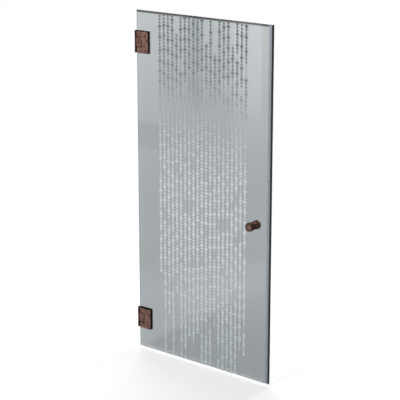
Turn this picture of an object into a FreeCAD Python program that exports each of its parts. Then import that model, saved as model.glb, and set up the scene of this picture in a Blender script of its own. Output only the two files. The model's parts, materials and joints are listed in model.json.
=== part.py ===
import FreeCAD, Part
import math
import os
import Sketcher

# Frameless glass shower door, hung on a side wall by two self-centring clamp hinges.
# The wall is the plane X = 0, the door runs along +X, its outer face looks to -Y and Z is up.
# The origin is the centre of the lower hinge's wall plate, on the face that meets the wall.

doc = FreeCAD.newDocument("ShowerDoor")
sheet = doc.addObject("Spreadsheet::Sheet", "Sizes")

# Driving sizes in millimetres
SIZES = {
    "glass_width": 900,
    "glass_height": 1900,
    "glass_thickness": 10,
    "glass_arris": 0.8,
    "glass_wall_gap": 7,
    "upper_hinge_drop": 170,
    "lower_hinge_rise": 170,
    "hinge_height": 120,
    "wall_plate_depth": 28,
    "wall_plate_thickness": 5,
    "wall_plate_edge": 1,
    "wall_hole_diameter": 6.5,
    "wall_head_diameter": 12.5,
    "wall_hole_spacing": 92,
    "pivot_offset": 33,
    "pin_diameter": 8,
    "pin_grip": 14,
    "pin_edge": 0.8,
    "running_clearance": 0.05,
    "block_height": 52,
    "block_depth": 26,
    "block_nose_radius": 14,
    "block_screw_diameter": 5,
    "block_screw_head": 9.4,
    "block_screw_length": 16,
    "block_screw_spacing": 26,
    "notch_gap": 2,
    "thrust_washer_diameter": 22,
    "seat_clearance": 0.15,
    "clamp_wall_gap": 12,
    "clamp_width": 81,
    "clamp_thickness": 8,
    "clamp_bevel": 3,
    "gasket_thickness": 1,
    "gasket_inset": 1,
    "cutout_reach": 63,
    "cutout_height": 92,
    "cutout_radius": 8,
    "pin_bar_start": 8,
    "clamp_screw_diameter": 6,
    "clamp_screw_head": 11.6,
    "clamp_screw_near": 33,
    "clamp_screw_far": 46,
    "clamp_screw_spacing": 76,
    "clamp_screw_bite": 6,
    "socket_width": 4,
    "socket_depth": 2.6,
    "knob_inset": 107,
    "knob_height": 848,
    "knob_projection": 35,
    "knob_diameter": 47,
    "knob_rosette_diameter": 41,
    "knob_waist_diameter": 33,
    "knob_bore_depth": 15,
    "knob_rosette_thickness": 4,
    "knob_flare": 4,
    "knob_head_length": 17,
    "knob_rim": 2,
    "knob_ring_diameter": 26,
    "knob_ring_groove": 1.1,
    "knob_washer_thickness": 1,
    "knob_washer_diameter": 38,
    "knob_stud_diameter": 8,
    "knob_hole_diameter": 14,
    "seal_wall": 1.2,
    "strike_leg": 18,
    "magnet_depth": 13,
    "magnet_width": 5.5,
    "magnet_radius": 1.8,
    "sweep_leg": 14,
    "sweep_drop": 12,
    "sweep_rail": 5,
    "sweep_joint": 0.3,
}
for row, (alias, value) in enumerate(SIZES.items(), start=1):
    sheet.set(f"A{row}", alias.replace("_", " "))
    sheet.set(f"B{row}", str(value))
    sheet.setAlias(f"B{row}", alias)
doc.recompute()


def size(name):
    """The expression for one cell of the sheet."""
    return f"Sizes.{name}"


def number(expression):
    """What an expression comes to, in millimetres."""
    return float(sheet.evalExpression(expression))


def near(value, expression):
    return abs(value - number(expression)) < 1e-6


# Places worked out from the driving sizes, as expressions
GLASS_LEFT = size("glass_wall_gap")
GLASS_RIGHT = f"({size('glass_wall_gap')} + {size('glass_width')})"
GLASS_BOTTOM = f"(-{size('lower_hinge_rise')})"
GLASS_TOP = f"({size('glass_height')} - {size('lower_hinge_rise')})"
GLASS_FACE = f"({size('glass_thickness')} / 2)"
LOWER_HINGE = "0"
UPPER_HINGE = f"({GLASS_TOP} - {size('upper_hinge_drop')})"
HINGE_TOP = f"({size('hinge_height')} / 2)"
PIVOT = size("pivot_offset")
PLATE_FACE = size("wall_plate_thickness")
BORE = f"({size('pin_diameter')} + 2 * {size('running_clearance')})"
CLAMP_LEFT = size("clamp_wall_gap")
CLAMP_RIGHT = f"({size('clamp_wall_gap')} + {size('clamp_width')})"
CLAMP_INNER = f"({GLASS_FACE} + {size('gasket_thickness')})"
CLAMP_OUTER = f"({CLAMP_INNER} + {size('clamp_thickness')})"
BLOCK_TOP = f"({size('block_height')} / 2)"
NOTCH_TOP = f"({BLOCK_TOP} + {size('notch_gap')})"
NOTCH_RIGHT = f"({PIVOT} + {size('block_nose_radius')} + {size('notch_gap')})"
CUTOUT_RIGHT = f"({GLASS_LEFT} + {size('cutout_reach')})"
CUTOUT_TOP = f"({size('cutout_height')} / 2)"
BAR_LEFT = f"({CLAMP_LEFT} + {size('pin_bar_start')})"
BAR_RIGHT = f"({CUTOUT_RIGHT} - {size('cutout_radius')})"
BAR_TOP = f"({CUTOUT_TOP} - {size('seat_clearance')})"
SCREW_NEAR = f"({CLAMP_LEFT} + {size('clamp_screw_near')})"
SCREW_FAR = f"({CLAMP_LEFT} + {size('clamp_screw_far')})"
SCREW_TOP = f"({size('clamp_screw_spacing')} / 2)"
KNOB_X = f"({GLASS_RIGHT} - {size('knob_inset')})"
KNOB_Z = f"({GLASS_BOTTOM} + {size('knob_height')})"
KNOB_SEAT = f"({GLASS_FACE} + {size('knob_washer_thickness')})"


def minus(expression):
    """The same distance on the other side of zero."""
    return f"(-1 * {expression})"


# Building blocks shared by the sub-parts


def new_body(label, x="0", z="0"):
    """An empty body whose own zero lies at (x, 0, z) of the door."""
    body = doc.addObject("PartDesign::Body", label)
    body.Label = label
    body.setExpression("Placement.Base.x", x)
    body.setExpression("Placement.Base.z", z)
    return body


def new_sketch(body, plane, name, offset="0"):
    """A sketch on one of the body's own planes, moved along the plane's normal."""
    sketch = body.newObject("Sketcher::SketchObject", name)
    support = next(item for item in body.Origin.OriginFeatures if item.Role == plane)
    sketch.AttachmentSupport = [(support, "")]
    sketch.MapMode = "FlatFace"
    sketch.setExpression("AttachmentOffset.Base.z", offset)
    return sketch


def tie_point(sketch, edge, end, across, up):
    """Ties one end of a sketch edge to two expressions, measured from the sketch's zero."""
    for kind, expression in (("DistanceX", across), ("DistanceY", up)):
        value = number(expression)
        index = sketch.addConstraint(Sketcher.Constraint(kind, -1, 1, edge, end, value))
        sketch.setExpression(f"Constraints[{index}]", expression)


def draw_outline(sketch, corners):
    """A closed outline of straight sides. Each corner is a pair of expressions."""
    places = [FreeCAD.Vector(number(across), number(up), 0) for across, up in corners]
    first = sketch.GeometryCount
    count = len(places)
    for index, place in enumerate(places):
        sketch.addGeometry(Part.LineSegment(place, places[(index + 1) % count]), False)
    for index in range(count):
        following = first + (index + 1) % count
        sketch.addConstraint(Sketcher.Constraint("Coincident", first + index, 2, following, 1))
    for index, (across, up) in enumerate(corners):
        tie_point(sketch, first + index, 1, across, up)


def draw_box(sketch, left, bottom, right, top):
    draw_outline(sketch, [(left, bottom), (right, bottom), (right, top), (left, top)])


def draw_circle(sketch, across, up, diameter):
    centre = FreeCAD.Vector(number(across), number(up), 0)
    width = number(diameter)
    circle = Part.Circle(centre, FreeCAD.Vector(0, 0, 1), width / 2)
    edge = sketch.addGeometry(circle, False)
    tie_point(sketch, edge, 3, across, up)
    index = sketch.addConstraint(Sketcher.Constraint("Diameter", edge, width))
    sketch.setExpression(f"Constraints[{index}]", diameter)


def pad(body, sketch, length):
    feature = body.newObject("PartDesign::Pad", sketch.Name + "_pad")
    feature.Profile = sketch
    feature.setExpression("Length", length)
    doc.recompute()
    return feature


def pocket(body, sketch, length=None, reverse=False):
    """Cuts the sketch's outlines, through everything where no length is given."""
    before = body.Shape.Volume
    feature = body.newObject("PartDesign::Pocket", sketch.Name + "_cut")
    feature.Profile = sketch
    if length is None:
        feature.Type = "ThroughAll"
    else:
        feature.setExpression("Length", length)
    feature.Reversed = reverse
    doc.recompute()
    if body.Shape.Volume >= before:
        raise RuntimeError(f"{feature.Name} cuts nothing")
    return feature


def countersunk(body, sketch, diameter, head, reverse=False):
    """Drills a countersunk hole through the body at each circle of the sketch."""
    before = body.Shape.Volume
    feature = body.newObject("PartDesign::Hole", sketch.Name + "_hole")
    feature.Profile = sketch
    doc.recompute()
    feature.Threaded = False
    feature.ThreadType = "None"
    feature.DepthType = "ThroughAll"
    feature.setExpression("Diameter", diameter)
    feature.HoleCutType = "Countersink"
    feature.HoleCutCustomValues = True
    feature.setExpression("HoleCutDiameter", head)
    feature.HoleCutCountersinkAngle = 90
    feature.Reversed = reverse
    doc.recompute()
    if body.Shape.Volume >= before:
        raise RuntimeError(f"{feature.Name} drills nothing")
    return feature


def revolve(body, sketch, axis):
    feature = body.newObject("PartDesign::Revolution", sketch.Name + "_turn")
    feature.Profile = sketch
    feature.ReferenceAxis = (sketch, [axis])
    feature.Angle = 360
    doc.recompute()
    return feature


def edges_where(shape, wanted):
    """Names of the edges whose two ends both pass the test."""
    return [
        f"Edge{index}"
        for index, edge in enumerate(shape.Edges, start=1)
        if all(wanted(vertex.Point) for vertex in edge.Vertexes)
    ]


def bevel(body, kind, name, base, edges, width):
    """A Chamfer or a Fillet on the named edges."""
    feature = body.newObject("PartDesign::" + kind, name)
    feature.Base = (base, edges)
    feature.setExpression("Size" if kind == "Chamfer" else "Radius", width)
    doc.recompute()
    return feature


# Glass


def make_glass():
    body = new_body("glass_panel")
    sketch = new_sketch(body, "XZ_Plane", "glass_outline", minus(GLASS_FACE))
    corners = [(GLASS_LEFT, GLASS_BOTTOM), (GLASS_RIGHT, GLASS_BOTTOM), (GLASS_RIGHT, GLASS_TOP)]
    corners.append((GLASS_LEFT, GLASS_TOP))
    for hinge in (UPPER_HINGE, LOWER_HINGE):
        top = f"({hinge} + {CUTOUT_TOP})"
        bottom = f"({hinge} - {CUTOUT_TOP})"
        corners += [(GLASS_LEFT, top), (CUTOUT_RIGHT, top), (CUTOUT_RIGHT, bottom), (GLASS_LEFT, bottom)]
    draw_outline(sketch, corners)
    slab = pad(body, sketch, size("glass_thickness"))
    inner = edges_where(slab.Shape, lambda point: near(point.x, CUTOUT_RIGHT))
    inner = [name for name in inner if slab.Shape.getElement(name).Length < 2 * number(GLASS_FACE) + 1]
    rounded = bevel(body, "Fillet", "glass_cutout_corners", slab, inner, size("cutout_radius"))

    def on_rim(point):
        return near(abs(point.y), GLASS_FACE)

    sides = []
    for name in edges_where(rounded.Shape, on_rim):
        box = rounded.Shape.getElement(name).BoundBox
        left = near(box.XMax, GLASS_LEFT)
        right = near(box.XMin, GLASS_RIGHT)
        bottom = near(box.ZMax, GLASS_BOTTOM)
        top = near(box.ZMin, GLASS_TOP)
        if box.YLength < 1e-6 and (left or right or bottom or top):
            sides.append(name)
    bevel(body, "Chamfer", "glass_ground_edges", rounded, sides, size("glass_arris"))
    hole = new_sketch(body, "XZ_Plane", "glass_knob_hole", minus(GLASS_FACE))
    draw_circle(hole, KNOB_X, KNOB_Z, size("knob_hole_diameter"))
    pocket(body, hole, reverse=True)
    return body


# Wall side of a hinge


def make_wall_plate(hinge, height):
    body = new_body(f"{hinge}_wall_plate", z=height)
    sketch = new_sketch(body, "YZ_Plane", f"{hinge}_wall_plate_outline")
    half = f"({size('wall_plate_depth')} / 2)"
    draw_box(sketch, minus(half), minus(HINGE_TOP), half, HINGE_TOP)
    slab = pad(body, sketch, PLATE_FACE)
    rim = edges_where(slab.Shape, lambda point: near(point.x, PLATE_FACE))
    bevel(body, "Chamfer", f"{hinge}_wall_plate_bevel", slab, rim, size("wall_plate_edge"))
    holes = new_sketch(body, "YZ_Plane", f"{hinge}_wall_plate_fixings", PLATE_FACE)
    up = f"({size('wall_hole_spacing')} / 2)"
    for z in (minus(up), up):
        draw_circle(holes, "0", z, size("wall_hole_diameter"))
    countersunk(body, holes, size("wall_hole_diameter"), size("wall_head_diameter"))
    rear = new_sketch(body, "YZ_Plane", f"{hinge}_wall_plate_block_holes")
    reach = f"({size('block_screw_spacing')} / 2)"
    for z in (minus(reach), reach):
        draw_circle(rear, "0", z, size("block_screw_diameter"))
    countersunk(body, rear, size("block_screw_diameter"), size("block_screw_head"), reverse=True)
    return body


def make_block_screws(hinge, height):
    """Two countersunk screws from behind the wall plate into the pivot block."""
    body = new_body(f"{hinge}_block_screws", z=height)
    radius = f"({size('block_screw_diameter')} / 2 - {size('running_clearance')})"
    head = f"({size('block_screw_head')} / 2 - {size('seat_clearance')})"
    cone = f"({head} - {radius})"
    end = f"({size('block_screw_length')} - {size('seat_clearance')})"
    for name, side in (("low", -0.5), ("high", 0.5)):
        middle = f"({side} * {size('block_screw_spacing')})"
        sketch = new_sketch(body, "XZ_Plane", f"{hinge}_block_screw_{name}")
        corners = [
            ("0", middle),
            (end, middle),
            (end, f"({middle} + {radius})"),
            (cone, f"({middle} + {radius})"),
            ("0", f"({middle} + {head})"),
        ]
        draw_outline(sketch, corners)
        revolve(body, sketch, "Edge1")
    return body


def make_pivot_block(hinge, height):
    """The fixed block that fills the clamp's notch, with a round nose about the pivot."""
    body = new_body(f"{hinge}_pivot_block", z=height)
    sketch = new_sketch(body, "XY_Plane", f"{hinge}_block_outline", minus(BLOCK_TOP))
    half = f"({size('block_depth')} / 2)"
    nose = size("block_nose_radius")
    flank = f"({PIVOT} + sqrt({nose} ^ 2 - {half} ^ 2))"
    wall, side = number(PLATE_FACE), number(half)
    pivot = FreeCAD.Vector(number(PIVOT), 0, 0)
    shoulder = number(flank)
    turn = math.atan2(side, shoulder - pivot.x)
    circle = Part.Circle(pivot, FreeCAD.Vector(0, 0, 1), number(nose))
    corners = [
        FreeCAD.Vector(shoulder, side, 0),
        FreeCAD.Vector(wall, side, 0),
        FreeCAD.Vector(wall, -side, 0),
        FreeCAD.Vector(shoulder, -side, 0),
    ]
    for first, second in zip(corners, corners[1:]):
        sketch.addGeometry(Part.LineSegment(first, second), False)
    sketch.addGeometry(Part.ArcOfCircle(circle, -turn, turn), False)
    for first, second in ((0, 1), (1, 2)):
        sketch.addConstraint(Sketcher.Constraint("Coincident", first, 2, second, 1))
    sketch.addConstraint(Sketcher.Constraint("Coincident", 2, 2, 3, 1))
    sketch.addConstraint(Sketcher.Constraint("Coincident", 3, 2, 0, 1))
    tie_point(sketch, 0, 2, PLATE_FACE, half)
    tie_point(sketch, 1, 2, PLATE_FACE, minus(half))
    tie_point(sketch, 3, 3, PIVOT, "0")
    index = sketch.addConstraint(Sketcher.Constraint("Radius", 3, number(nose)))
    sketch.setExpression(f"Constraints[{index}]", nose)
    sketch.addConstraint(Sketcher.Constraint("Horizontal", 0))
    sketch.addConstraint(Sketcher.Constraint("Horizontal", 2))
    pad(body, sketch, size("block_height"))
    bore = new_sketch(body, "XY_Plane", f"{hinge}_block_bore", minus(BLOCK_TOP))
    draw_circle(bore, PIVOT, "0", BORE)
    pocket(body, bore, reverse=True)
    holes = new_sketch(body, "YZ_Plane", f"{hinge}_block_screw_holes", PLATE_FACE)
    for side in (-0.5, 0.5):
        draw_circle(holes, "0", f"({side} * {size('block_screw_spacing')})", size("block_screw_diameter"))
    pocket(body, holes, f"({size('block_screw_length')} - {PLATE_FACE})", reverse=True)
    return body


# Door side of a hinge


def make_pivot_pin(hinge, height):
    body = new_body(f"{hinge}_pivot_pin", z=height)
    reach = f"({NOTCH_TOP} + {size('pin_grip')})"
    sketch = new_sketch(body, "XY_Plane", f"{hinge}_pin_outline", minus(reach))
    draw_circle(sketch, PIVOT, "0", size("pin_diameter"))
    rod = pad(body, sketch, f"(2 * {reach})")
    ends = edges_where(rod.Shape, lambda point: near(abs(point.z), reach))
    bevel(body, "Chamfer", f"{hinge}_pin_ends", rod, ends, size("pin_edge"))
    return body


def make_thrust_washers(hinge, height):
    """A plain bearing washer above and below the pivot block."""
    body = new_body(f"{hinge}_thrust_washers", z=height)
    low = f"({BLOCK_TOP} + {size('seat_clearance')})"
    high = f"({NOTCH_TOP} - {size('seat_clearance')})"
    for name, level in (("above", low), ("below", minus(high))):
        sketch = new_sketch(body, "XY_Plane", f"{hinge}_washer_{name}", level)
        draw_circle(sketch, PIVOT, "0", size("thrust_washer_diameter"))
        draw_circle(sketch, PIVOT, "0", BORE)
        pad(body, sketch, f"({high} - {low})")
    return body


def make_pin_bars(hinge, height):
    """The two bars between the clamp plates that grip the ends of the pin."""
    body = new_body(f"{hinge}_pin_bars", z=height)
    sketch = new_sketch(body, "XZ_Plane", f"{hinge}_bar_outline", minus(CLAMP_INNER))
    draw_box(sketch, BAR_LEFT, NOTCH_TOP, BAR_RIGHT, BAR_TOP)
    draw_box(sketch, BAR_LEFT, minus(BAR_TOP), BAR_RIGHT, minus(NOTCH_TOP))
    pad(body, sketch, f"(2 * {CLAMP_INNER})")
    bore = new_sketch(body, "XY_Plane", f"{hinge}_bar_bore", minus(BAR_TOP))
    draw_circle(bore, PIVOT, "0", BORE)
    pocket(body, bore, reverse=True)
    holes = new_sketch(body, "XZ_Plane", f"{hinge}_bar_screw_holes", minus(CLAMP_INNER))
    draw_screw_circles(holes)
    pocket(body, holes, reverse=True)
    return body


def draw_screw_circles(sketch):
    for across in (SCREW_NEAR, SCREW_FAR):
        for up in (SCREW_TOP, minus(SCREW_TOP)):
            draw_circle(sketch, across, up, size("clamp_screw_diameter"))


def make_clamp_plate(hinge, height, side):
    """One bevelled plate of the clamp, notched round the pivot block."""
    body = new_body(f"{hinge}_{side}_plate", z=height)
    start = CLAMP_INNER if side == "front" else minus(CLAMP_OUTER)
    name = f"{hinge}_{side}"
    sketch = new_sketch(body, "XZ_Plane", f"{name}_plate_outline", start)
    draw_box(sketch, CLAMP_LEFT, minus(HINGE_TOP), CLAMP_RIGHT, HINGE_TOP)
    slab = pad(body, sketch, size("clamp_thickness"))
    rim = edges_where(slab.Shape, lambda point: near(abs(point.y), CLAMP_OUTER))
    bevel(body, "Chamfer", f"{name}_plate_bevel", slab, rim, size("clamp_bevel"))
    notch = new_sketch(body, "XZ_Plane", f"{name}_plate_notch", start)
    draw_box(notch, CLAMP_LEFT, minus(NOTCH_TOP), NOTCH_RIGHT, NOTCH_TOP)
    pocket(body, notch, reverse=True)
    holes = new_sketch(body, "XZ_Plane", f"{name}_plate_screw_holes", start)
    draw_screw_circles(holes)
    if side == "front":
        pocket(body, holes, size("clamp_screw_bite"), reverse=True)
    else:
        countersunk(body, holes, size("clamp_screw_diameter"), size("clamp_screw_head"), reverse=True)
    return body


def make_gasket(hinge, height, side):
    """A soft sheet between a clamp plate and the glass, open over the glass cut-out."""
    body = new_body(f"{hinge}_{side}_gasket", z=height)
    start = GLASS_FACE if side == "front" else minus(CLAMP_INNER)
    sketch = new_sketch(body, "XZ_Plane", f"{hinge}_{side}_gasket_outline", start)
    inset = size("gasket_inset")
    left = f"({CLAMP_LEFT} + {inset})"
    right = f"({CLAMP_RIGHT} - {inset})"
    top = f"({HINGE_TOP} - {inset})"
    corners = [
        (left, minus(top)),
        (right, minus(top)),
        (right, top),
        (left, top),
        (left, CUTOUT_TOP),
        (CUTOUT_RIGHT, CUTOUT_TOP),
        (CUTOUT_RIGHT, minus(CUTOUT_TOP)),
        (left, minus(CUTOUT_TOP)),
    ]
    draw_outline(sketch, corners)
    pad(body, sketch, size("gasket_thickness"))
    return body


def make_clamp_screws(hinge, height):
    """Four countersunk socket screws from the back plate through to the front plate."""
    body = new_body(f"{hinge}_clamp_screws", z=height)
    radius = f"({size('clamp_screw_diameter')} / 2 - {size('running_clearance')})"
    head = f"({size('clamp_screw_head')} / 2 - {size('seat_clearance')})"
    end = f"(-1 * ({CLAMP_INNER} + {size('clamp_screw_bite')} - {size('seat_clearance')}))"
    for across in (SCREW_NEAR, SCREW_FAR):
        for up in (SCREW_TOP, minus(SCREW_TOP)):
            sketch = new_sketch(body, "XY_Plane", f"{hinge}_clamp_screw", up)
            corners = [
                (across, CLAMP_OUTER),
                (across, end),
                (f"({across} + {radius})", end),
                (f"({across} + {radius})", f"({CLAMP_OUTER} - {head} + {radius})"),
                (f"({across} + {head})", CLAMP_OUTER),
            ]
            draw_outline(sketch, corners)
            revolve(body, sketch, "Edge1")
    sockets = new_sketch(body, "XZ_Plane", f"{hinge}_clamp_screw_sockets", minus(CLAMP_OUTER))
    for across in (SCREW_NEAR, SCREW_FAR):
        for up in (SCREW_TOP, minus(SCREW_TOP)):
            draw_hexagon(sockets, across, up, size("socket_width"))
    pocket(body, sockets, size("socket_depth"), reverse=True)
    return body


def draw_hexagon(sketch, across, up, width):
    """A hexagon with two upright sides, its width measured across the flats."""
    half = f"({width} / 2)"
    point = f"({width} / sqrt(3))"
    corners = []
    for side, rise in ((0, 1), (1, 0.5), (1, -0.5), (0, -1), (-1, -0.5), (-1, 0.5)):
        corners.append((f"({across} + {side} * {half})", f"({up} + {rise} * {point})"))
    draw_outline(sketch, corners)


# Knob


def make_knob(side):
    """One turned knob: rosette, waist and a broad head with a ringed face."""
    body = new_body(f"{side}_knob", KNOB_X, KNOB_Z)
    sketch = new_sketch(body, "XY_Plane", f"{side}_knob_outline")
    bore = f"({size('knob_stud_diameter')} / 2 + {size('running_clearance')})"
    rosette = f"({size('knob_rosette_diameter')} / 2)"
    waist = f"({size('knob_waist_diameter')} / 2)"
    head = f"({size('knob_diameter')} / 2)"
    ring = f"({size('knob_ring_diameter')} / 2)"
    groove = size("knob_ring_groove")
    tip = f"({KNOB_SEAT} + {size('knob_projection')})"
    rim = size("knob_rim")
    depths = {
        "seat": KNOB_SEAT,
        "rosette": f"({KNOB_SEAT} + {size('knob_rosette_thickness')})",
        "waist": f"({KNOB_SEAT} + {size('knob_rosette_thickness')} + {size('knob_flare')})",
        "shoulder": f"({tip} - {size('knob_head_length')} - {size('knob_flare')})",
        "head": f"({tip} - {size('knob_head_length')})",
        "bore": f"({KNOB_SEAT} + {size('knob_bore_depth')})",
    }
    corners = [
        (bore, depths["seat"]),
        (rosette, depths["seat"]),
        (rosette, depths["rosette"]),
        (waist, depths["waist"]),
        (waist, depths["shoulder"]),
        (head, depths["head"]),
        (head, f"({tip} - {rim})"),
        (f"({head} - {rim})", tip),
        (ring, tip),
        (f"({ring} - {groove})", f"({tip} - {groove})"),
        (f"({ring} - 2 * {groove})", tip),
        ("0", tip),
        ("0", depths["bore"]),
        (bore, depths["bore"]),
    ]
    if side == "front":
        corners = [(across, minus(up)) for across, up in corners]
    draw_outline(sketch, corners)
    revolve(body, sketch, "V_Axis")
    return body


def make_knob_stud():
    body = new_body("knob_stud", KNOB_X, KNOB_Z)
    reach = f"({KNOB_SEAT} + {size('knob_bore_depth')} - {size('seat_clearance')})"
    sketch = new_sketch(body, "XZ_Plane", "knob_stud_outline", minus(reach))
    draw_circle(sketch, "0", "0", size("knob_stud_diameter"))
    pad(body, sketch, f"(2 * {reach})")
    return body


def make_ring(label, outer, start, length):
    """A ring about the knob's stud, from one depth towards the front."""
    body = new_body(label, KNOB_X, KNOB_Z)
    sketch = new_sketch(body, "XZ_Plane", label + "_outline", start)
    draw_circle(sketch, "0", "0", outer)
    draw_circle(sketch, "0", "0", f"({size('knob_stud_diameter')} + 2 * {size('running_clearance')})")
    pad(body, sketch, length)
    return body


def make_knob_rings():
    sleeve = f"({size('knob_hole_diameter')} - 2 * {size('seat_clearance')})"
    washer = size("knob_washer_diameter")
    thickness = size("knob_washer_thickness")
    make_ring("knob_sleeve", sleeve, minus(GLASS_FACE), size("glass_thickness"))
    make_ring("front_knob_washer", washer, GLASS_FACE, thickness)
    make_ring("back_knob_washer", washer, minus(KNOB_SEAT), thickness)


# Seals on the free edge and the bottom edge


def make_strike_seal():
    """A clear channel that grips the free edge of the glass."""
    body = new_body("strike_seal")
    wall = size("seal_wall")
    outer = f"({GLASS_FACE} + {wall})"
    legs = f"({GLASS_RIGHT} - {size('strike_leg')})"
    web = f"({GLASS_RIGHT} + {wall})"
    corners = [
        (legs, GLASS_FACE),
        (legs, outer),
        (web, outer),
        (web, minus(outer)),
        (legs, minus(outer)),
        (legs, minus(GLASS_FACE)),
        (GLASS_RIGHT, minus(GLASS_FACE)),
        (GLASS_RIGHT, GLASS_FACE),
    ]
    sketch = new_sketch(body, "XY_Plane", "strike_seal_outline", GLASS_BOTTOM)
    draw_outline(sketch, corners)
    pad(body, sketch, size("glass_height"))
    return body


def make_strike_magnet():
    """The dark magnetic strip along the channel's outer face."""
    body = new_body("strike_magnet")
    left = f"({GLASS_RIGHT} + {size('seal_wall')})"
    right = f"({left} + {size('magnet_width')})"
    half = f"({size('magnet_depth')} / 2)"
    sketch = new_sketch(body, "XY_Plane", "strike_magnet_outline", GLASS_BOTTOM)
    draw_box(sketch, left, minus(half), right, half)
    strip = pad(body, sketch, size("glass_height"))

    def outer_corner(point):
        return near(point.x, right)

    edges = [
        name
        for name in edges_where(strip.Shape, outer_corner)
        if strip.Shape.getElement(name).BoundBox.ZLength > number(size("magnet_depth"))
    ]
    bevel(body, "Fillet", "strike_magnet_rounds", strip, edges, size("magnet_radius"))
    return body


def make_bottom_sweep():
    """A clear channel on the bottom edge with a wiping fin and a drip rail below it."""
    body = new_body("bottom_sweep")
    wall = size("seal_wall")
    outer = f"({GLASS_FACE} + {wall})"
    under = f"({GLASS_BOTTOM} - {wall})"
    fin = f"({wall} / 2)"
    foot = f"({GLASS_BOTTOM} - {size('sweep_drop')})"
    rail = f"({outer} + {size('sweep_rail')})"
    tip = f"({under} - {size('sweep_rail')})"
    base = new_sketch(body, "YZ_Plane", "sweep_base_outline", GLASS_LEFT)
    corners = [
        (minus(outer), GLASS_BOTTOM),
        (minus(outer), under),
        (minus(fin), under),
        (minus(fin), foot),
        (fin, foot),
        (fin, under),
        (f"({outer} - {wall})", under),
        (f"({rail} - {wall})", tip),
        (rail, tip),
        (outer, under),
        (outer, GLASS_BOTTOM),
    ]
    draw_outline(base, corners)
    pad(body, base, size("glass_width"))
    legs = new_sketch(body, "YZ_Plane", "sweep_legs_outline", GLASS_LEFT)
    top = f"({GLASS_BOTTOM} + {size('sweep_leg')})"
    draw_box(legs, minus(outer), GLASS_BOTTOM, minus(GLASS_FACE), top)
    draw_box(legs, GLASS_FACE, GLASS_BOTTOM, outer, top)
    pad(body, legs, f"({size('glass_width')} - {size('strike_leg')} - {size('sweep_joint')})")
    return body


def make_hinge(name, height):
    make_wall_plate(name, height)
    make_block_screws(name, height)
    make_pivot_block(name, height)
    make_pivot_pin(name, height)
    make_thrust_washers(name, height)
    make_pin_bars(name, height)
    for side in ("front", "back"):
        make_clamp_plate(name, height, side)
        make_gasket(name, height, side)
    make_clamp_screws(name, height)


make_glass()
make_hinge("upper_hinge", UPPER_HINGE)
make_hinge("lower_hinge", LOWER_HINGE)
for knob_side in ("front", "back"):
    make_knob(knob_side)
make_knob_stud()
make_knob_rings()
make_strike_seal()
make_strike_magnet()
make_bottom_sweep()
doc.recompute()

for item in doc.Objects:
    if "Invalid" in item.State or "Error" in item.State:
        raise RuntimeError(f"{item.Label} did not build: {item.State}")
bodies = [item for item in doc.Objects if item.TypeId == "PartDesign::Body"]
for body in bodies:
    if body.Shape.isNull() or not body.Shape.isValid():
        raise RuntimeError(f"{body.Label} has no sound shape")
os.makedirs("parts", exist_ok=True)
for body in bodies:
    body.Shape.exportStep(f"parts/{body.Label}.step")
print(len(bodies), "sub-parts")
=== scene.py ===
import json
import math
import random

import bmesh
import bpy
from mathutils import Matrix, Vector

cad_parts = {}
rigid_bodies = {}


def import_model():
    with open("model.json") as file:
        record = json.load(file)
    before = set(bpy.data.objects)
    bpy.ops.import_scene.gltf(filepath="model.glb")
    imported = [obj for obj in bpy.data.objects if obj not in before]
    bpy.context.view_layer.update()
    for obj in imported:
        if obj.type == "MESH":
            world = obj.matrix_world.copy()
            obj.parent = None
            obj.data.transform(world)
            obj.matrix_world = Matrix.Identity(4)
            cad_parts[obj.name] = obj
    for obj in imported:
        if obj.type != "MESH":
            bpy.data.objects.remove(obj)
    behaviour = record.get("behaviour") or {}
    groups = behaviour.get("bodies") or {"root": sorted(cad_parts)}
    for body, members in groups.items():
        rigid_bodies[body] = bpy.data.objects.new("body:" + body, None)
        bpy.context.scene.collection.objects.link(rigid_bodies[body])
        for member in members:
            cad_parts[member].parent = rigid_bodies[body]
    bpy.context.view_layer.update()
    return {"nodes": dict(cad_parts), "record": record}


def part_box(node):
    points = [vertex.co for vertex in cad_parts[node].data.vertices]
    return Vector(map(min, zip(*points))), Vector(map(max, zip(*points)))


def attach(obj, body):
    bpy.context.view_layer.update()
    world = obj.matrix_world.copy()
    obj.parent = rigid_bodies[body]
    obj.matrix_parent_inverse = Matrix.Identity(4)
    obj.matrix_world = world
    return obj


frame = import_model()

# The sheet of glass, from the frame. Lengths are in metres
GLASS_LOW, GLASS_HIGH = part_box("glass_panel")
GLASS_WIDTH = GLASS_HIGH[0] - GLASS_LOW[0]
GLASS_TALL = GLASS_HIGH[2] - GLASS_LOW[2]
GLASS_FRONT = GLASS_LOW[1]

# The glass as a material: its red and blue as shares of its green, its refraction, and the
# light it lets into its own shadow
GLASS_RED = 0.928
GLASS_BLUE = 1.046
GLASS_IOR = 1.5
SHADOW_LIGHT = (0.22, 0.225, 0.23, 1.0)

# Its frosted edges: the width and the level of the painted shade that they show as, a dark line
# below and above, and the painted shade and the roughness of the edge faces themselves
BOTTOM_LINE = 0.004
TOP_LINE = 0.008
BOTTOM_LINE_SHADE = 0.212
TOP_LINE_SHADE = 0.013
EDGE_FACE_SHADE = 0.06
GROUND_ROUGHNESS = 0.35

# The painted light along its hinge side, where the glass is made paler: how far it reaches, and its
# strength
PALE_REACH = 0.085
PALE_SHARE = 1.055

# The floor under the sweep. It takes the door's shadow as far as the shadow's reach and is
# plain white from twice that far on. It glows a little more behind the door than in front
FLOOR_GAP = 0.006
FLOOR_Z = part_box("bottom_sweep")[0][2] - FLOOR_GAP
FLOOR_REACH = 14.0
FLOOR_TONE = 0.7
SHADOW_REACH = 1.1
BEHIND_REACH = 0.08
FRONT_GLOW = 0.232
BEHIND_GLOW = 0.385

# The lower pivot block, and how much higher the upper one sits
BLOCK_LOW, BLOCK_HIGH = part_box("lower_hinge_pivot_block")
HINGE_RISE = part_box("upper_hinge_pivot_block")[0][2] - BLOCK_LOW[2]
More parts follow.
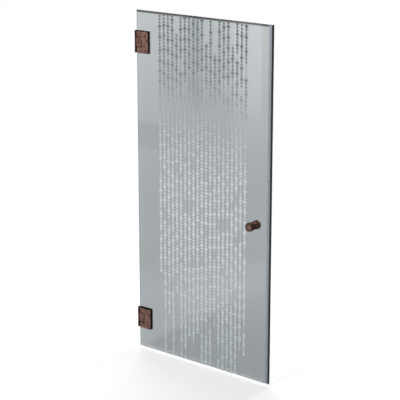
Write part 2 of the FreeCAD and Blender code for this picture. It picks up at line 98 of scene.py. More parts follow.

# The painted shade in the seam round a block: how far outside the block the seam's middle lies, how
# far the shade reaches from there, and the share of that reach that is darkest
SEAM_MIDDLE = 0.001
SEAM_REACH = 0.0034
SEAM_CORE = 0.4

# The dark band of painted shade beside the wall, and the part of it that is darkest
WALL_BAND = 0.0135
WALL_CORE = 0.75 * WALL_BAND

# The share of the bronze's colour left in each place: on the block, in the painted shade of its
# seams and beside the wall, and in a knob's ring, on its shoulder and at its rim
BLOCK_TONE = 0.86
NOSE_SEAM_TONE = 0.50
UPPER_SEAM_TONE = 0.60
LOWER_SEAM_TONE = 0.22
WALL_TONE = 0.45
RING_TONE = 0.35
SHOULDER_TONE = 0.85
RIM_TONE = 0.5

# The countersunk wall screws: how far apart a plate's two are, the radii of shank and head,
# how far the head lies below the plate's face, the depth of its socket, the width of the
# rim round that, and the distance within which the points at a screw's pole become one
SCREW_SPACING = 0.092
SCREW_SHANK = 0.0031
SCREW_HEAD = 0.0060
SCREW_RECESS = 0.0003
SCREW_SOCKET = 0.0014
SOCKET_RIM = 0.55 * SCREW_HEAD
SCREW_SIDES = 32
POLE_MERGE = 0.000001

# The bright window wall that the glass mirrors, in front of the door and to its left
WINDOW_PLACE = (-2.02, -3.0, 0.54)
WINDOW_WIDE = 1.48
WINDOW_TALL = 1.44
WINDOW_LIGHT = 3.08

# Its warm white. Where its right pane ends, how sharply, and the share of the light that is
# left past that end, beside the pane and beside the sill under it
WARM_WHITE = (1.0, 0.975, 0.945)
PANE_EDGE = 0.905
PANE_STEP = 0.002
PAST_PANE_TONE = 0.66
PAST_SILL_TONE = 0.93

# The light from all round, behind the white that the camera sees
AMBIENT_COLOUR = (0.975, 0.985, 1.0, 1.0)
AMBIENT_LIGHT = 0.40
WHITE = (1.0, 1.0, 1.0, 1.0)
BLACK = (0.0, 0.0, 0.0, 1.0)

# The camera stands to the right of the door, a little above its middle
CAMERA_TURN = math.radians(39.61)
CAMERA_RISE = math.radians(15.26)
CAMERA_DISTANCE = 7.497
CAMERA_TARGET = Vector((0.442, 0.0, 0.7543))
CAMERA_LENS = 126.97
SENSOR_WIDTH = 36.0
CLIP_END = 60.0

# The knobs' radius
KNOB_RADIUS = 0.0235

# The bronze's tint where light grazes it, and the tones that its patina runs through
BRONZE_EDGE = (0.35, 0.26, 0.23, 1.0)
BRONZE_TONES = [
    (0.32, (0.088, 0.050, 0.041)),
    (0.50, (0.150, 0.087, 0.071)),
    (0.68, (0.215, 0.130, 0.106)),
]

# The colours of the other finishes, and how dark the grain in steel and in plastic is
STEEL_COLOUR = (0.31, 0.31, 0.32)
SCREW_COLOUR = (0.11, 0.07, 0.055)
NYLON_COLOUR = (0.055, 0.045, 0.04)
GASKET_COLOUR = (0.04, 0.04, 0.04)
MAGNET_COLOUR = (0.011, 0.014, 0.016)
SMOKY_VINYL = ((0.29, 0.325, 0.37), (0.35, 0.39, 0.44))
MILKY_VINYL = ((0.93, 0.935, 0.94), (0.98, 0.98, 0.98))
STEEL_GRAIN = 0.75
PLASTIC_GRAIN = 0.86

# How much plastic mirrors: as most do, and as the dull magnet strip does
PLAIN_SHINE = 0.5
DULL_SHINE = 0.2

# How sharply the sweep's vinyl turns from milky to clear at the bottom edge of the glass
VINYL_STEP = 0.0004

# The strings of the printed bead curtain, as shares of the glass's width and height from
# its hinge side and its top: their spacing, where they start and end, and how much lower
# they reach towards the free edge
LAYOUT_SEED = 160
STRING_COUNT = 21
STRING_START = 0.181
STRING_STEP = 0.0321
TOP_END = 0.0015
LATE_STRINGS = 4
LATE_TOPS = (0.05, 0.14)
LOW_ENDS = (0.70, 1.0)
LOW_END_SLOPE = 0.22
LOWEST_END = 0.997
FULL_LENGTH_CHANCE = 0.3

# The beads along a string. The pitch is a share of the glass's height too, the first
# bead's place and the gaps are in pitches, and the rest is counted in beads
BEAD_PITCH = 0.0096
FIRST_BEAD = (0.4, 1.2)
LARGE_AFTER = (2, 2, 3)
RUN_LENGTH = (9, 26)
GAP_LENGTH = (1, 4)

# The print itself
SMALL_BEAD = 0.0130
LARGE_BEAD = 0.0194
SMALL_SIDES = 12
LARGE_SIDES = 16
BEAD_STRETCH = 1.10
BEAD_CROWN = 0.86
THREAD_WIDTH = 0.0033
PRINT_THICKNESS = 0.0003
THREAD_THICKNESS = 0.6 * PRINT_THICKNESS
PRINT_LIFT = 0.00004


# Node helpers


def new_material(name):
    """A node material with one Principled shader, and that shader."""
    material = bpy.data.materials.new(name)
    material.use_nodes = True
    shader = material.node_tree.nodes["Principled BSDF"]
    return material, shader


def add_node(material, kind, **settings):
    """A new node in the material, with its settings."""
    node = material.node_tree.nodes.new(kind)
    for key, value in settings.items():
        setattr(node, key, value)
    return node


def wire(material, source, target):
    material.node_tree.links.new(source, target)


def object_coordinates(material):
    return add_node(material, "ShaderNodeTexCoord").outputs["Object"]


def noise(material, scale, detail=3.0, stretch=(1.0, 1.0, 1.0)):
    """Noise on the piece's own coordinates, squeezed or stretched along its axes."""
    mapping = add_node(material, "ShaderNodeMapping")
    mapping.inputs["Scale"].default_value = stretch
    wire(material, object_coordinates(material), mapping.inputs["Vector"])
    texture = add_node(material, "ShaderNodeTexNoise")
    texture.inputs["Scale"].default_value = scale
    texture.inputs["Detail"].default_value = detail
    wire(material, mapping.outputs["Vector"], texture.inputs["Vector"])
    return texture.outputs["Fac"]


def ramp(material, factor, stops):
    """A colour ramp. Each stop is a place from 0 to 1 and a colour."""
    node = add_node(material, "ShaderNodeValToRGB")
    elements = node.color_ramp.elements
    while len(elements) < len(stops):
        elements.new(0.5)
    for element, (place, colour) in zip(elements, stops):
        element.position = place
        element.color = (*colour, 1.0)
    wire(material, factor, node.inputs["Fac"])
    return node.outputs["Color"]


def spread(material, factor, low, high):
    """Stretches a 0 to 1 factor to run from low to high."""
    node = add_node(material, "ShaderNodeMapRange")
    node.inputs["To Min"].default_value = low
    node.inputs["To Max"].default_value = high
    wire(material, factor, node.inputs["Value"])
    return node.outputs["Result"]


def bump(material, shader, height, distance):
    """Small relief on the surface, as high as the distance."""
    node = add_node(material, "ShaderNodeBump")
    node.inputs["Distance"].default_value = distance
    node.inputs["Strength"].default_value = 1.0
    wire(material, height, node.inputs["Height"])
    wire(material, node.outputs["Normal"], shader.inputs["Normal"])


def height_share(material):
    """How high a point lies on the glass, from 0 at the bottom to 1 at the top."""
    split = add_node(material, "ShaderNodeSeparateXYZ")
    wire(material, object_coordinates(material), split.inputs["Vector"])
    node = add_node(material, "ShaderNodeMapRange")
    node.inputs["From Min"].default_value = GLASS_LOW[2]
    node.inputs["From Max"].default_value = GLASS_HIGH[2]
    node.clamp = False
    wire(material, split.outputs["Z"], node.inputs["Value"])
    return node.outputs["Result"]


def grey(level):
    return (level, level, level)


def times_all(colour, share):
    """A plain colour, each of its parts multiplied by the share."""
    return tuple(share * part for part in colour)


def facing(material, axis):
    """How far a face looks along one of the piece's own axes, from -1 to 1."""
    split = add_node(material, "ShaderNodeSeparateXYZ")
    normal = add_node(material, "ShaderNodeTexCoord").outputs["Normal"]
    wire(material, normal, split.inputs["Vector"])
    return split.outputs[axis]


def from_signed(material, value):
    """Turns a value that runs from -1 to 1 into one from 0 to 1."""
    node = add_node(material, "ShaderNodeMapRange")
    node.inputs["From Min"].default_value = -1.0
    wire(material, value, node.inputs["Value"])
    return node.outputs["Result"]


def size_of(material, value):
    """The value without its sign."""
    node = add_node(material, "ShaderNodeMath", operation="ABSOLUTE")
    wire(material, value, node.inputs[0])
    return node.outputs["Value"]


def fade(material, value, start, end):
    """Falls from 1 where the value is at the start to 0 where it is at the end."""
    node = add_node(material, "ShaderNodeMapRange")
    node.inputs["From Min"].default_value = start
    node.inputs["From Max"].default_value = end
    node.inputs["To Min"].default_value = 1.0
    node.inputs["To Max"].default_value = 0.0
    wire(material, value, node.inputs["Value"])
    return node.outputs["Result"]


def near(material, value, place, reach):
    """1 where the value is close to a place, falling to 0 at the reach on either side."""
    node = add_node(material, "ShaderNodeMath", operation="SUBTRACT")
    node.inputs[1].default_value = place
    wire(material, value, node.inputs[0])
    return fade(material, size_of(material, node.outputs["Value"]), SEAM_CORE * reach, reach)


def times(material, first, second):
    """One colour multiplied by another."""
    mix = add_node(material, "ShaderNodeMix", data_type="RGBA", blend_type="MULTIPLY")
    mix.inputs["Factor"].default_value = 1.0
    wire(material, first, mix.inputs["A"])
    wire(material, second, mix.inputs["B"])
    return mix.outputs["Result"]


def blended(material, share, first, second):
    """The first colour where the share is 0, and the second where it is 1."""
    mix = add_node(material, "ShaderNodeMix", data_type="RGBA")
    wire(material, share, mix.inputs["Factor"])
    wire(material, first, mix.inputs["A"])
    wire(material, second, mix.inputs["B"])
    return mix.outputs["Result"]


def grey_ramp(material, factor, stops):
    """A ramp of greys. Each stop is a place from 0 to 1 and a level."""
    return ramp(material, factor, [(place, grey(level)) for place, level in stops])


def plain(material, colour):
    """One colour all over."""
    node = add_node(material, "ShaderNodeRGB")
    node.outputs["Color"].default_value = (*colour, 1.0)
    return node.outputs["Color"]


# Materials


def glass_tint(level):
    """The glass's grey with its slight blue, by its green part."""
    return (GLASS_RED * level, level, GLASS_BLUE * level)


def hinge_side_painted_light(material):
    """Painted light: the glass is made a little paler along its hinge side."""
    split = add_node(material, "ShaderNodeSeparateXYZ")
    wire(material, object_coordinates(material), split.inputs["Vector"])
    share = fade(material, split.outputs["X"], GLASS_LOW[0], GLASS_LOW[0] + PALE_REACH)
    return spread(material, share, 1.0, PALE_SHARE)


def glass_finish():
    """Grey tinted glass whose tint carries painted light and shade: paler towards its top, darker
    low down, with dark lines of painted shade along its edges.
    """
    material, shader = new_material("tinted_glass")
    foot = BOTTOM_LINE / GLASS_TALL
    rim = TOP_LINE / GLASS_TALL
    # The stops hold the glass's own grey and painted light and shade: darker low down, paler
    # towards the top, and a dark band of painted shade at the bottom and top edges
    stops = [
        (0.0, glass_tint(BOTTOM_LINE_SHADE)),
        (foot, glass_tint(BOTTOM_LINE_SHADE)),
        (1.3 * foot, glass_tint(0.304)),
        (0.12, glass_tint(0.303)),
        (0.26, glass_tint(0.340)),
        (0.34, glass_tint(0.362)),
        (0.42, glass_tint(0.367)),
        (0.55, glass_tint(0.371)),
        (0.66, glass_tint(0.370)),
        (0.82, glass_tint(0.407)),
        (1.0 - 1.1 * rim, glass_tint(0.460)),
        (1.0 - rim, glass_tint(TOP_LINE_SHADE)),
        (1.0, glass_tint(TOP_LINE_SHADE)),
    ]
    tint = ramp(material, height_share(material), stops)
    # Painted light along the hinge side
    tint = times(material, tint, hinge_side_painted_light(material))
    # Painted shade: the edge faces, which look neither to the front nor to the back, are darkened
    # nearly to black
    across = size_of(material, facing(material, "Y"))
    edge_shade = grey_ramp(material, across, [(0.5, EDGE_FACE_SHADE), (0.95, 1.0)])
    wire(material, times(material, tint, edge_shade), shader.inputs["Base Color"])
    frost = grey_ramp(material, across, [(0.5, GROUND_ROUGHNESS), (0.95, 0.0)])
    wire(material, frost, shader.inputs["Roughness"])
    shader.inputs["IOR"].default_value = GLASS_IOR
    shader.inputs["Transmission Weight"].default_value = 1.0
    through = add_node(material, "ShaderNodeBsdfTransparent")
    through.inputs["Color"].default_value = SHADOW_LIGHT
    light_path = add_node(material, "ShaderNodeLightPath")
    mix = add_node(material, "ShaderNodeMixShader")
    output = material.node_tree.nodes["Material Output"]
    wire(material, light_path.outputs["Is Shadow Ray"], mix.inputs["Fac"])
    wire(material, shader.outputs["BSDF"], mix.inputs[1])
    wire(material, through.outputs["BSDF"], mix.inputs[2])
    wire(material, mix.outputs["Shader"], output.inputs["Surface"])
    return material


def print_finish():
    """The bead print: grey green at the top of the glass, fading to a frosty white below."""
    material, shader = new_material("bead_print")
    stops = [
        (0.0, (0.335, 0.378, 0.388)),
        (0.20, (0.415, 0.443, 0.456)),
        (0.40, (0.458, 0.475, 0.495)),
        (0.56, (0.425, 0.440, 0.456)),
        (0.66, (0.350, 0.363, 0.377)),
        (0.74, (0.273, 0.288, 0.300)),
        (0.84, (0.143, 0.160, 0.167)),
        (1.0, (0.085, 0.105, 0.111)),
    ]
    wire(material, ramp(material, height_share(material), stops), shader.inputs["Base Color"])
    grain = noise(material, scale=900.0)
    wire(material, spread(material, grain, 0.4, 0.6), shader.inputs["Roughness"])
    return material


def ring_darkening(material, centre):
    """Darker in a knob's ring and round its rim, by the distance from its axis."""
    flat = add_node(material, "ShaderNodeVectorMath", operation="MULTIPLY")
    flat.inputs[1].default_value = (1.0, 0.0, 1.0)
    wire(material, object_coordinates(material), flat.inputs[0])
    away = add_node(material, "ShaderNodeVectorMath", operation="DISTANCE")
    away.inputs[1].default_value = (centre[0], 0.0, centre[2])
    wire(material, flat.outputs["Vector"], away.inputs[0])
    share = add_node(material, "ShaderNodeMapRange")
    share.inputs["From Max"].default_value = KNOB_RADIUS
    wire(material, away.outputs["Value"], share.inputs["Value"])
    return grey_ramp(material, share.outputs["Result"], [
        (0.0, 1.0), (0.42, 1.0), (0.50, RING_TONE), (0.62, RING_TONE),
        (0.70, SHOULDER_TONE), (0.88, SHOULDER_TONE), (0.95, RIM_TONE), (1.0, RIM_TONE),
    ])


def painted_seam_shade(material):
    """Painted shade in the seam round each pivot block and beside the wall, and the block itself a
    little darker.

    Heights wrap from the upper hinge to the lower one, whose block is centred on zero.
    """
    split = add_node(material, "ShaderNodeSeparateXYZ")
    wire(material, object_coordinates(material), split.inputs["Vector"])
    across = split.outputs["X"]
    wrap = add_node(material, "ShaderNodeMath", operation="WRAP")
    wrap.inputs[1].default_value = HINGE_RISE / 2
    wrap.inputs[2].default_value = -HINGE_RISE / 2
    wire(material, split.outputs["Z"], wrap.inputs[0])
    level = wrap.outputs["Value"]
    nose = BLOCK_HIGH[0] + SEAM_MIDDLE
    half = BLOCK_HIGH[2] + SEAM_MIDDLE
    beside_wall = fade(material, across, WALL_CORE, WALL_BAND)
    left_of_nose = fade(material, across, nose, nose + SEAM_MIDDLE)
    beside_block = fade(material, size_of(material, level), half, half + SEAM_MIDDLE)
    nose_seam = near(material, across, nose, SEAM_REACH)
    upper_seam = near(material, level, half, SEAM_REACH)
    lower_seam = near(material, level, -half, SEAM_REACH)
    # Painted shade in the seams and beside the wall; the block itself is only made a little darker
    places = [
        (times(material, left_of_nose, beside_block), BLOCK_TONE),
        (times(material, nose_seam, beside_block), NOSE_SEAM_TONE),
        (times(material, upper_seam, left_of_nose), UPPER_SEAM_TONE),
        (times(material, lower_seam, left_of_nose), LOWER_SEAM_TONE),
        (beside_wall, WALL_TONE),
    ]
    tone = None
    for share, darkest in places:
        layer = spread(material, share, 1.0, darkest)
        tone = times(material, tone, layer) if tone else layer
    return tone


def bronze_finish(name, side_tone, slope_tone, top_tone, under_tone, knob=None, share=1.0):
    """Dark bronze with a mottled patina and faint brushing.

    Painted light and shade set its tone by where a face looks: to a side, on a slope, up or down. A
    knob is darker in its ring and round its rim, and the hinges get painted shade in their seams
    and beside the wall.
    """
    material, shader = new_material(name)
    patina = noise(material, scale=45.0, detail=5.0)
    # Painted light: the share makes this copy of the bronze brighter as a whole
    stops = [(place, times_all(tone, share)) for place, tone in BRONZE_TONES]
    colour = ramp(material, patina, stops)
    # Painted light and shade by where a face looks: darker or brighter on the sides, slopes, tops
    # and undersides
    across = size_of(material, facing(material, "Y"))
    side = grey_ramp(material, across, [
        (0.2, side_tone), (0.62, slope_tone), (0.78, slope_tone), (0.92, 1.0),
    ])
    rise = from_signed(material, facing(material, "Z"))
    upright = grey_ramp(material, rise, [
        (0.15, under_tone), (0.35, 1.0), (0.65, 1.0), (0.8, top_tone),
    ])
    colour = times(material, times(material, colour, side), upright)
    if knob:
        low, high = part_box(knob)
        centre = (Vector(low) + Vector(high)) / 2
        colour = times(material, colour, ring_darkening(material, centre))
    else:
        colour = times(material, colour, painted_seam_shade(material))
    wire(material, colour, shader.inputs["Base Color"])
    shader.inputs["Metallic"].default_value = 1.0
    shader.inputs["Specular Tint"].default_value = BRONZE_EDGE
    brushing = noise(material, scale=420.0, detail=2.0, stretch=(1.0, 1.0, 0.04))
    wire(material, spread(material, brushing, 0.30, 0.46), shader.inputs["Roughness"])
    bump(material, shader, brushing, distance=0.00006)
    return material


def grained(material, grain, dark, pale):
    """A colour that runs from dark to pale with the grain."""
    return ramp(material, grain, [(0.3, dark), (0.7, pale)])


def steel_finish(name, colour, smooth, rough):
    """Ground or blackened steel with fine noise in its gloss."""
    material, shader = new_material(name)
    grain = noise(material, scale=180.0)
    dark = times_all(colour, STEEL_GRAIN)
    wire(material, grained(material, grain, dark, colour), shader.inputs["Base Color"])
    shader.inputs["Metallic"].default_value = 1.0
    wire(material, spread(material, grain, smooth, rough), shader.inputs["Roughness"])
    return material


def plastic_finish(name, colour, smooth, rough, shine=PLAIN_SHINE):
    """Moulded or rubbery material with a faint grain."""
    material, shader = new_material(name)
    grain = noise(material, scale=700.0, detail=2.0)
    dark = times_all(colour, PLASTIC_GRAIN)
    wire(material, grained(material, grain, dark, colour), shader.inputs["Base Color"])
    wire(material, spread(material, grain, smooth, rough), shader.inputs["Roughness"])
    shader.inputs["Specular IOR Level"].default_value = shine
    bump(material, shader, grain, distance=0.00003)
    return material


def vinyl_finish(name, dark, pale, below, above):
    """See-through extruded vinyl with long draw lines.

    How solid it looks changes at the bottom edge of the glass, from below to above.
    """
    material, shader = new_material(name)
    lines = noise(material, scale=60.0, detail=2.0, stretch=(1.0, 1.0, 0.01))
    wire(material, grained(material, lines, dark, pale), shader.inputs["Base Color"])
    wire(material, spread(material, lines, 0.18, 0.3), shader.inputs["Roughness"])
    node = add_node(material, "ShaderNodeMapRange")
    node.inputs["From Min"].default_value = -VINYL_STEP
    node.inputs["From Max"].default_value = VINYL_STEP
    node.inputs["To Min"].default_value = below
    node.inputs["To Max"].default_value = above
    wire(material, height_share(material), node.inputs["Value"])
    wire(material, node.outputs["Result"], shader.inputs["Alpha"])
    return material


# Printed beads


def bead_template(radius, sides):
    """One low domed disc that faces -Y, a little wider than high, with its back at zero."""
    mesh = bmesh.new()
    # Extruding a circle would make the rim's faces in another order on each run
    bmesh.ops.create_cone(
        mesh,
        cap_ends=True,
        segments=sides,
        radius1=radius,
        radius2=BEAD_CROWN * radius,
        depth=PRINT_THICKNESS,
    )
    turned = Matrix.Rotation(math.radians(90.0), 4, "X")
    stretched = Matrix.Diagonal((BEAD_STRETCH, 1.0, 1.0, 1.0))
    seated = Matrix.Translation((0.0, -PRINT_THICKNESS / 2, 0.0))
    bmesh.ops.transform(mesh, matrix=seated @ stretched @ turned, verts=mesh.verts[:])
    bmesh.ops.recalc_face_normals(mesh, faces=mesh.faces[:])
    template = bpy.data.meshes.new("bead_template")
    mesh.to_mesh(template)
    mesh.free()
    return template


def add_bead(mesh, template, x, z):
    """A copy of the template disc on the front face of the glass."""
    first = len(mesh.verts)
    mesh.from_mesh(template)
    mesh.verts.ensure_lookup_table()
    place = Vector((x, GLASS_FRONT - PRINT_LIFT, z))
    for vert in mesh.verts[first:]:
        vert.co += place


def thread_strip(mesh, x, low, high):
    """The thin printed line that a string of beads hangs on."""
    made = bmesh.ops.create_cube(mesh, size=1.0)
    size = (THREAD_WIDTH, THREAD_THICKNESS, high - low)
    middle = (x, GLASS_FRONT - PRINT_LIFT - THREAD_THICKNESS / 2, (low + high) / 2)
    matrix = Matrix.Translation(middle) @ Matrix.Diagonal((*size, 1.0))
    bmesh.ops.transform(mesh, matrix=matrix, verts=made["verts"])


def string_layout():
    """For each string its place across, its two ends and its beads as (height, is large)."""
    dice = random.Random(LAYOUT_SEED)
    late = set(dice.sample(range(1, STRING_COUNT - 1), LATE_STRINGS))
    strings = []
    for index in range(STRING_COUNT):
        across = GLASS_LOW[0] + (STRING_START + STRING_STEP * index) * GLASS_WIDTH
        top = dice.uniform(*LATE_TOPS) if index in late else TOP_END
        share = index / (STRING_COUNT - 1)
        bottom = min(dice.uniform(*LOW_ENDS) + LOW_END_SLOPE * share, LOWEST_END)
        if dice.random() < FULL_LENGTH_CHANCE:
            bottom = LOWEST_END
        place = top + BEAD_PITCH * dice.uniform(*FIRST_BEAD)
        until_large = dice.randint(0, max(LARGE_AFTER))
        run = dice.randint(*RUN_LENGTH)
        beads = []
        while place < bottom:
            large = until_large == 0
            beads.append((GLASS_HIGH[2] - place * GLASS_TALL, large))
            until_large = dice.choice(LARGE_AFTER) if large else until_large - 1
            run -= 1
            place += BEAD_PITCH
            if run == 0:
                place += BEAD_PITCH * dice.randint(*GAP_LENGTH)
                run = dice.randint(*RUN_LENGTH)
        ends = (GLASS_HIGH[2] - bottom * GLASS_TALL, GLASS_HIGH[2] - top * GLASS_TALL)
        strings.append((across, ends, beads))
    return strings


def finish_piece(name, mesh, body, material):
    """Makes the mesh a piece that rides on a body."""
    data = bpy.data.meshes.new(name)
    mesh.to_mesh(data)
    mesh.free()
    piece = bpy.data.objects.new(name, data)
    bpy.context.scene.collection.objects.link(piece)
    data.materials.append(material)
    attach(piece, body)


def make_bead_curtain(material):
    """The print on the front of the glass, as threads, small beads and large beads."""
    threads = bmesh.new()
    small = bmesh.new()
    large = bmesh.new()
    small_disc = bead_template(SMALL_BEAD / 2, SMALL_SIDES)
    large_disc = bead_template(LARGE_BEAD / 2, LARGE_SIDES)
    for across, (low, high), beads in string_layout():
        thread_strip(threads, across, low, high)
        for place, is_large in beads:
            if is_large:
                add_bead(large, large_disc, across, place)
            else:
                add_bead(small, small_disc, across, place)
    bpy.data.meshes.remove(small_disc)
    bpy.data.meshes.remove(large_disc)
    finish_piece("bead_threads", threads, "door", material)
    finish_piece("small_beads", small, "door", material)
    finish_piece("large_beads", large, "door", material)


# Wall screws


def make_wall_screws(hinge, material):
    """Two countersunk screws in a wall plate, one above the other."""
    low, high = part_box(f"{hinge}_wall_plate")
    middle = (low[2] + high[2]) / 2
    mesh = countersunk_screw(high[0] - low[0] - SCREW_RECESS)
    lower = mesh.verts[:]
    copied = bmesh.ops.duplicate(mesh, geom=mesh.verts[:] + mesh.edges[:] + mesh.faces[:])
    upper = [item for item in copied["geom"] if isinstance(item, bmesh.types.BMVert)]
    for verts, side in ((lower, -1), (upper, 1)):
        rise = middle + side * SCREW_SPACING / 2
        bmesh.ops.translate(mesh, vec=(0.0, 0.0, rise), verts=verts)
    finish_piece(f"{hinge}_wall_screws", mesh, "wall_brackets", material)


def countersunk_screw(length):
    """A short shank and a cone head with a round socket, turned about the X axis."""
    cone = SCREW_HEAD - SCREW_SHANK
    profile = [
        (0.0, 0.0),
        (0.0, SCREW_SHANK),
        (length - cone, SCREW_SHANK),
        (length, SCREW_HEAD),
    ]
    mesh = bmesh.new()
    verts = [mesh.verts.new((x, radius, 0.0)) for x, radius in profile]
    edges = [mesh.edges.new(pair) for pair in zip(verts, verts[1:])]
    bmesh.ops.spin(
        mesh, geom=verts + edges, cent=(0, 0, 0), axis=(1, 0, 0),
        angle=math.tau, steps=SCREW_SIDES, use_merge=True,
    )
    bmesh.ops.remove_doubles(mesh, verts=mesh.verts[:], dist=POLE_MERGE)
    rim = [edge for edge in mesh.edges if edge.is_boundary]
    cap = bmesh.ops.edgeloop_fill(mesh, edges=rim)["faces"]
    bmesh.ops.inset_region(mesh, faces=cap, thickness=SOCKET_RIM, use_even_offset=True)
    bmesh.ops.translate(mesh, vec=(-SCREW_SOCKET, 0.0, 0.0), verts=cap[0].verts[:])
    bmesh.ops.recalc_face_normals(mesh, faces=mesh.faces[:])
    return mesh


# Finishes on the CAD nodes


def dress_nodes():
    """Gives each node the finish of its slot, or its own where it has one."""
    finishes = {
        "glass": glass_finish(),
        "bronze": bronze_finish(
            "hinge_bronze", side_tone=0.10, slope_tone=0.75, top_tone=0.12, under_tone=1.3,
            share=1.07,
        ),
        "steel": steel_finish("ground_steel", STEEL_COLOUR, 0.3, 0.45),
        "steel_screws": steel_finish("blackened_steel", SCREW_COLOUR, 0.3, 0.45),
        "nylon": plastic_finish("dark_nylon", NYLON_COLOUR, 0.4, 0.55),
        "gasket": plastic_finish("gasket_rubber", GASKET_COLOUR, 0.6, 0.8),
        "clear_vinyl": vinyl_finish("smoky_vinyl", *SMOKY_VINYL, below=0.5, above=0.5),
        "magnet_strip": plastic_finish("magnet_strip", MAGNET_COLOUR, 0.5, 0.65, DULL_SHINE),
    }
    # The knobs get their own copies of the bronze with more painted light, and the back knob's
    # copy, seen through the glass, is made much brighter still
    by_node = {
        "front_knob": bronze_finish(
            "front_knob_bronze", side_tone=0.9, slope_tone=0.25, top_tone=1.0, under_tone=0.7,
            knob="front_knob", share=1.15,
        ),
        "back_knob": bronze_finish(
            "back_knob_bronze", side_tone=1.5, slope_tone=0.8, top_tone=0.9, under_tone=1.6,
            knob="back_knob", share=1.6,
        ),
        "bottom_sweep": vinyl_finish("milky_vinyl", *MILKY_VINYL, below=1.0, above=0.10),
    }
    for part in frame["record"]["subparts"]:
        node = frame["nodes"][part["node"]]
        material = by_node.get(part["node"], finishes[part["material_slot"]])
        for item in [node, *node.children]:
            if item.type != "MESH":
                continue
            if not item.material_slots:
                item.data.materials.append(material)
            for place in item.material_slots:
                place.material = material


# Floor, light and camera


def make_floor():
    """A pale floor that takes the shadow near the door and is plain white farther out."""
    mesh = bmesh.new()
    bmesh.ops.create_grid(mesh, x_segments=1, y_segments=1, size=FLOOR_REACH)
    bmesh.ops.translate(mesh, vec=(0.0, 0.0, FLOOR_Z), verts=mesh.verts[:])
    data = bpy.data.meshes.new("floor")
    mesh.to_mesh(data)
    mesh.free()
    floor = bpy.data.objects.new("floor", data)
    bpy.context.scene.collection.objects.link(floor)
    material, shader = new_material("pale_floor")
    shader.inputs["Base Color"].default_value = (*grey(FLOOR_TONE), 1.0)
    shader.inputs["Roughness"].default_value = 1.0
    shader.inputs["Specular IOR Level"].default_value = 0.0
    split = add_node(material, "ShaderNodeSeparateXYZ")
    wire(material, object_coordinates(material), split.inputs["Vector"])
    behind = add_node(material, "ShaderNodeMapRange", interpolation_type="SMOOTHSTEP")
    behind.inputs["From Max"].default_value = BEHIND_REACH
    wire(material, split.outputs["Y"], behind.inputs["Value"])
    glow_stops = [(0.0, FRONT_GLOW), (1.0, BEHIND_GLOW)]
    glow = grey_ramp(material, behind.outputs["Result"], glow_stops)
    wire(material, glow, shader.inputs["Emission Color"])
    shader.inputs["Emission Strength"].default_value = 1.0
    away = add_node(material, "ShaderNodeVectorMath", operation="DISTANCE")
    middle = (GLASS_LOW[0] + GLASS_HIGH[0]) / 2
    away.inputs[1].default_value = (middle, 0.0, FLOOR_Z)
    wire(material, object_coordinates(material), away.inputs[0])
    blend = add_node(material, "ShaderNodeMapRange", interpolation_type="SMOOTHSTEP")
    blend.inputs["From Min"].default_value = SHADOW_REACH
    blend.inputs["From Max"].default_value = 2.0 * SHADOW_REACH
    wire(material, away.outputs["Value"], blend.inputs["Value"])
    white = add_node(material, "ShaderNodeEmission")
    mix = add_node(material, "ShaderNodeMixShader")
    wire(material, blend.outputs["Result"], mix.inputs["Fac"])
    wire(material, shader.outputs["BSDF"], mix.inputs[1])
    wire(material, white.outputs["Emission"], mix.inputs[2])
    output = material.node_tree.nodes["Material Output"]
    wire(material, mix.outputs["Shader"], output.inputs["Surface"])
    data.materials.append(material)


def wire_window_light(material, shader):
    """Two panes with a soft dark gap between them, each paler towards its top."""
    split = add_node(material, "ShaderNodeSeparateXYZ")
    wire(material, object_coordinates(material), split.inputs["Vector"])
    across = share_of(material, split.outputs["X"], WINDOW_WIDE)
    upward = share_of(material, split.outputs["Z"], WINDOW_TALL)
    left_pane = grey_ramp(material, upward, [
        (0.0, 0.39), (0.155, 0.43), (0.165, 0.28), (0.30, 0.28),
        (0.31, 0.50), (0.386, 0.545), (0.629, 0.60), (0.873, 0.63), (1.0, 0.64),
    ])
    middle = grey_ramp(material, upward, [
        (0.0, 0.333), (0.30, 0.31), (0.386, 0.325), (0.477, 0.373),
        (0.629, 0.453), (0.873, 0.54), (1.0, 0.567),
    ])
    right_pane = grey_ramp(material, upward, [
        (0.0, 0.333), (0.142, 0.40), (0.305, 0.57), (0.467, 0.66),
        (0.477, 0.80), (0.629, 0.90), (0.873, 1.0), (1.0, 1.0),
    ])
    to_middle = grey_ramp(material, across, [(0.167, 0.0), (0.30, 1.0)])
    to_right = grey_ramp(material, across, [(0.60, 0.0), (0.715, 0.35), (0.735, 1.0)])
    light = blended(material, to_middle, left_pane, middle)
    light = blended(material, to_right, light, right_pane)
    gap = grey_ramp(material, across, [
        (0.36, 1.0), (0.382, 0.9), (0.429, 0.55), (0.457, 0.15),
        (0.475, 0.10), (0.49, 0.40), (0.515, 1.0),
    ])
    gap_height = grey_ramp(material, upward, [(0.34, 0.0), (0.50, 0.75), (0.75, 1.0)])
    no_gap = plain(material, grey(1.0))
    light = times(material, light, blended(material, gap_height, no_gap, gap))
    beside_pane = pane_edge(material, across, PAST_PANE_TONE)
    beside_sill = pane_edge(material, across, PAST_SILL_TONE)
    above_sill = grey_ramp(material, upward, [(0.465, 0.0), (0.477, 1.0)])
    light = times(material, light, blended(material, above_sill, beside_sill, beside_pane))
    wire(material, light, shader.inputs["Emission Color"])


def pane_edge(material, across, tone):
    """Warm white as far as the right pane reaches, and past it the share that is left."""
    beyond = (PANE_EDGE + PANE_STEP, times_all(WARM_WHITE, tone))
    return ramp(material, across, [(PANE_EDGE, WARM_WHITE), beyond])


def share_of(material, value, length):
    """Where a value lies along a length that is centred on 0, from 0 to 1."""
    node = add_node(material, "ShaderNodeMapRange")
    node.inputs["From Min"].default_value = -length / 2
    node.inputs["From Max"].default_value = length / 2
    wire(material, value, node.inputs["Value"])
    return node.outputs["Result"]


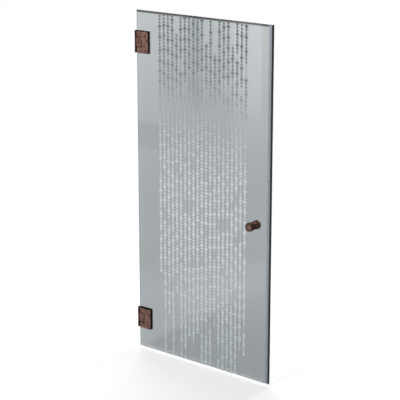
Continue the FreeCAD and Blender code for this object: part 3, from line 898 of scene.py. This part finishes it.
def make_window():
    """A soft two-pane window in front, seen only as a pale reflection in the glass."""
    mesh = bmesh.new()
    bmesh.ops.create_grid(mesh, x_segments=1, y_segments=1, size=0.5)
    bmesh.ops.rotate(mesh, matrix=Matrix.Rotation(math.radians(-90.0), 3, "X"), verts=mesh.verts[:])
    bmesh.ops.scale(mesh, vec=(WINDOW_WIDE, 1.0, WINDOW_TALL), verts=mesh.verts[:])
    data = bpy.data.meshes.new("window")
    mesh.to_mesh(data)
    mesh.free()
    window = bpy.data.objects.new("window", data)
    window.location = WINDOW_PLACE
    bpy.context.scene.collection.objects.link(window)
    material, shader = new_material("window_light")
    wire_window_light(material, shader)
    shader.inputs["Emission Strength"].default_value = WINDOW_LIGHT
    shader.inputs["Base Color"].default_value = BLACK
    shader.inputs["Specular IOR Level"].default_value = 0.0
    data.materials.append(material)
    window.visible_camera = False
    window.visible_shadow = False
    window.visible_diffuse = False


def add_lamp(name, place, aim, width, height, watts):
    """A soft oblong lamp at a place, turned towards its aim."""
    data = bpy.data.lights.new(name, "AREA")
    data.shape = "RECTANGLE"
    data.size = width
    data.size_y = height
    data.energy = watts
    lamp = bpy.data.objects.new(name, data)
    bpy.context.scene.collection.objects.link(lamp)
    lamp.location = place
    lamp.rotation_euler = (Vector(aim) - Vector(place)).to_track_quat("-Z", "Y").to_euler()


def light_scene():
    """Two lamps behind the door, one in front, and even light from all round."""
    add_lamp(
        "back_key", place=(0.7, 3.4, 3.6), aim=(0.45, -0.3, FLOOR_Z),
        width=0.5, height=0.5, watts=54.0,
    )
    add_lamp(
        "side_key", place=(-5.0, 4.8, 5.9), aim=(0.3, -0.2, FLOOR_Z),
        width=5.8, height=3.9, watts=350.0,
    )
    add_lamp(
        "front_fill", place=(0.5, -5.7, 4.6), aim=(0.4, 0.0, 0.8),
        width=1.0, height=1.8, watts=338.0,
    )
    light_world()


def light_world():
    """Pale ambient light, with plain white for the camera, for mirrors and through glass."""
    world = bpy.data.worlds.new("studio")
    bpy.context.scene.world = world
    world.use_nodes = True
    nodes = world.node_tree.nodes
    links = world.node_tree.links
    ambient = nodes["Background"]
    ambient.inputs["Color"].default_value = AMBIENT_COLOUR
    ambient.inputs["Strength"].default_value = AMBIENT_LIGHT
    white = nodes.new("ShaderNodeBackground")
    white.inputs["Color"].default_value = WHITE
    path = nodes.new("ShaderNodeLightPath")
    seen = path.outputs["Is Camera Ray"]
    for kind in ("Is Glossy Ray", "Is Transmission Ray"):
        larger = nodes.new("ShaderNodeMath")
        larger.operation = "MAXIMUM"
        links.new(seen, larger.inputs[0])
        links.new(path.outputs[kind], larger.inputs[1])
        seen = larger.outputs["Value"]
    mix = nodes.new("ShaderNodeMixShader")
    links.new(seen, mix.inputs["Fac"])
    links.new(ambient.outputs["Background"], mix.inputs[1])
    links.new(white.outputs["Background"], mix.inputs[2])
    links.new(mix.outputs["Shader"], nodes["World Output"].inputs["Surface"])


def place_camera():
    """The camera looks at its target from the right and a little above."""
    data = bpy.data.cameras.new("camera")
    data.lens = CAMERA_LENS
    data.sensor_width = SENSOR_WIDTH
    data.clip_end = CLIP_END
    camera = bpy.data.objects.new("camera", data)
    bpy.context.scene.collection.objects.link(camera)
    level = math.cos(CAMERA_RISE)
    back = Vector((
        math.sin(CAMERA_TURN) * level, -math.cos(CAMERA_TURN) * level, math.sin(CAMERA_RISE),
    ))
    camera.location = CAMERA_TARGET + CAMERA_DISTANCE * back
    camera.rotation_euler = back.to_track_quat("Z", "Y").to_euler()
    bpy.context.scene.camera = camera


dress_nodes()
make_bead_curtain(print_finish())
screw_steel = steel_finish("screw_steel", SCREW_COLOUR, 0.3, 0.45)
for hinge_name in ("upper_hinge", "lower_hinge"):
    make_wall_screws(hinge_name, screw_steel)
make_floor()
make_window()
light_scene()
place_camera()
bpy.context.scene.view_settings.view_transform = "Standard"
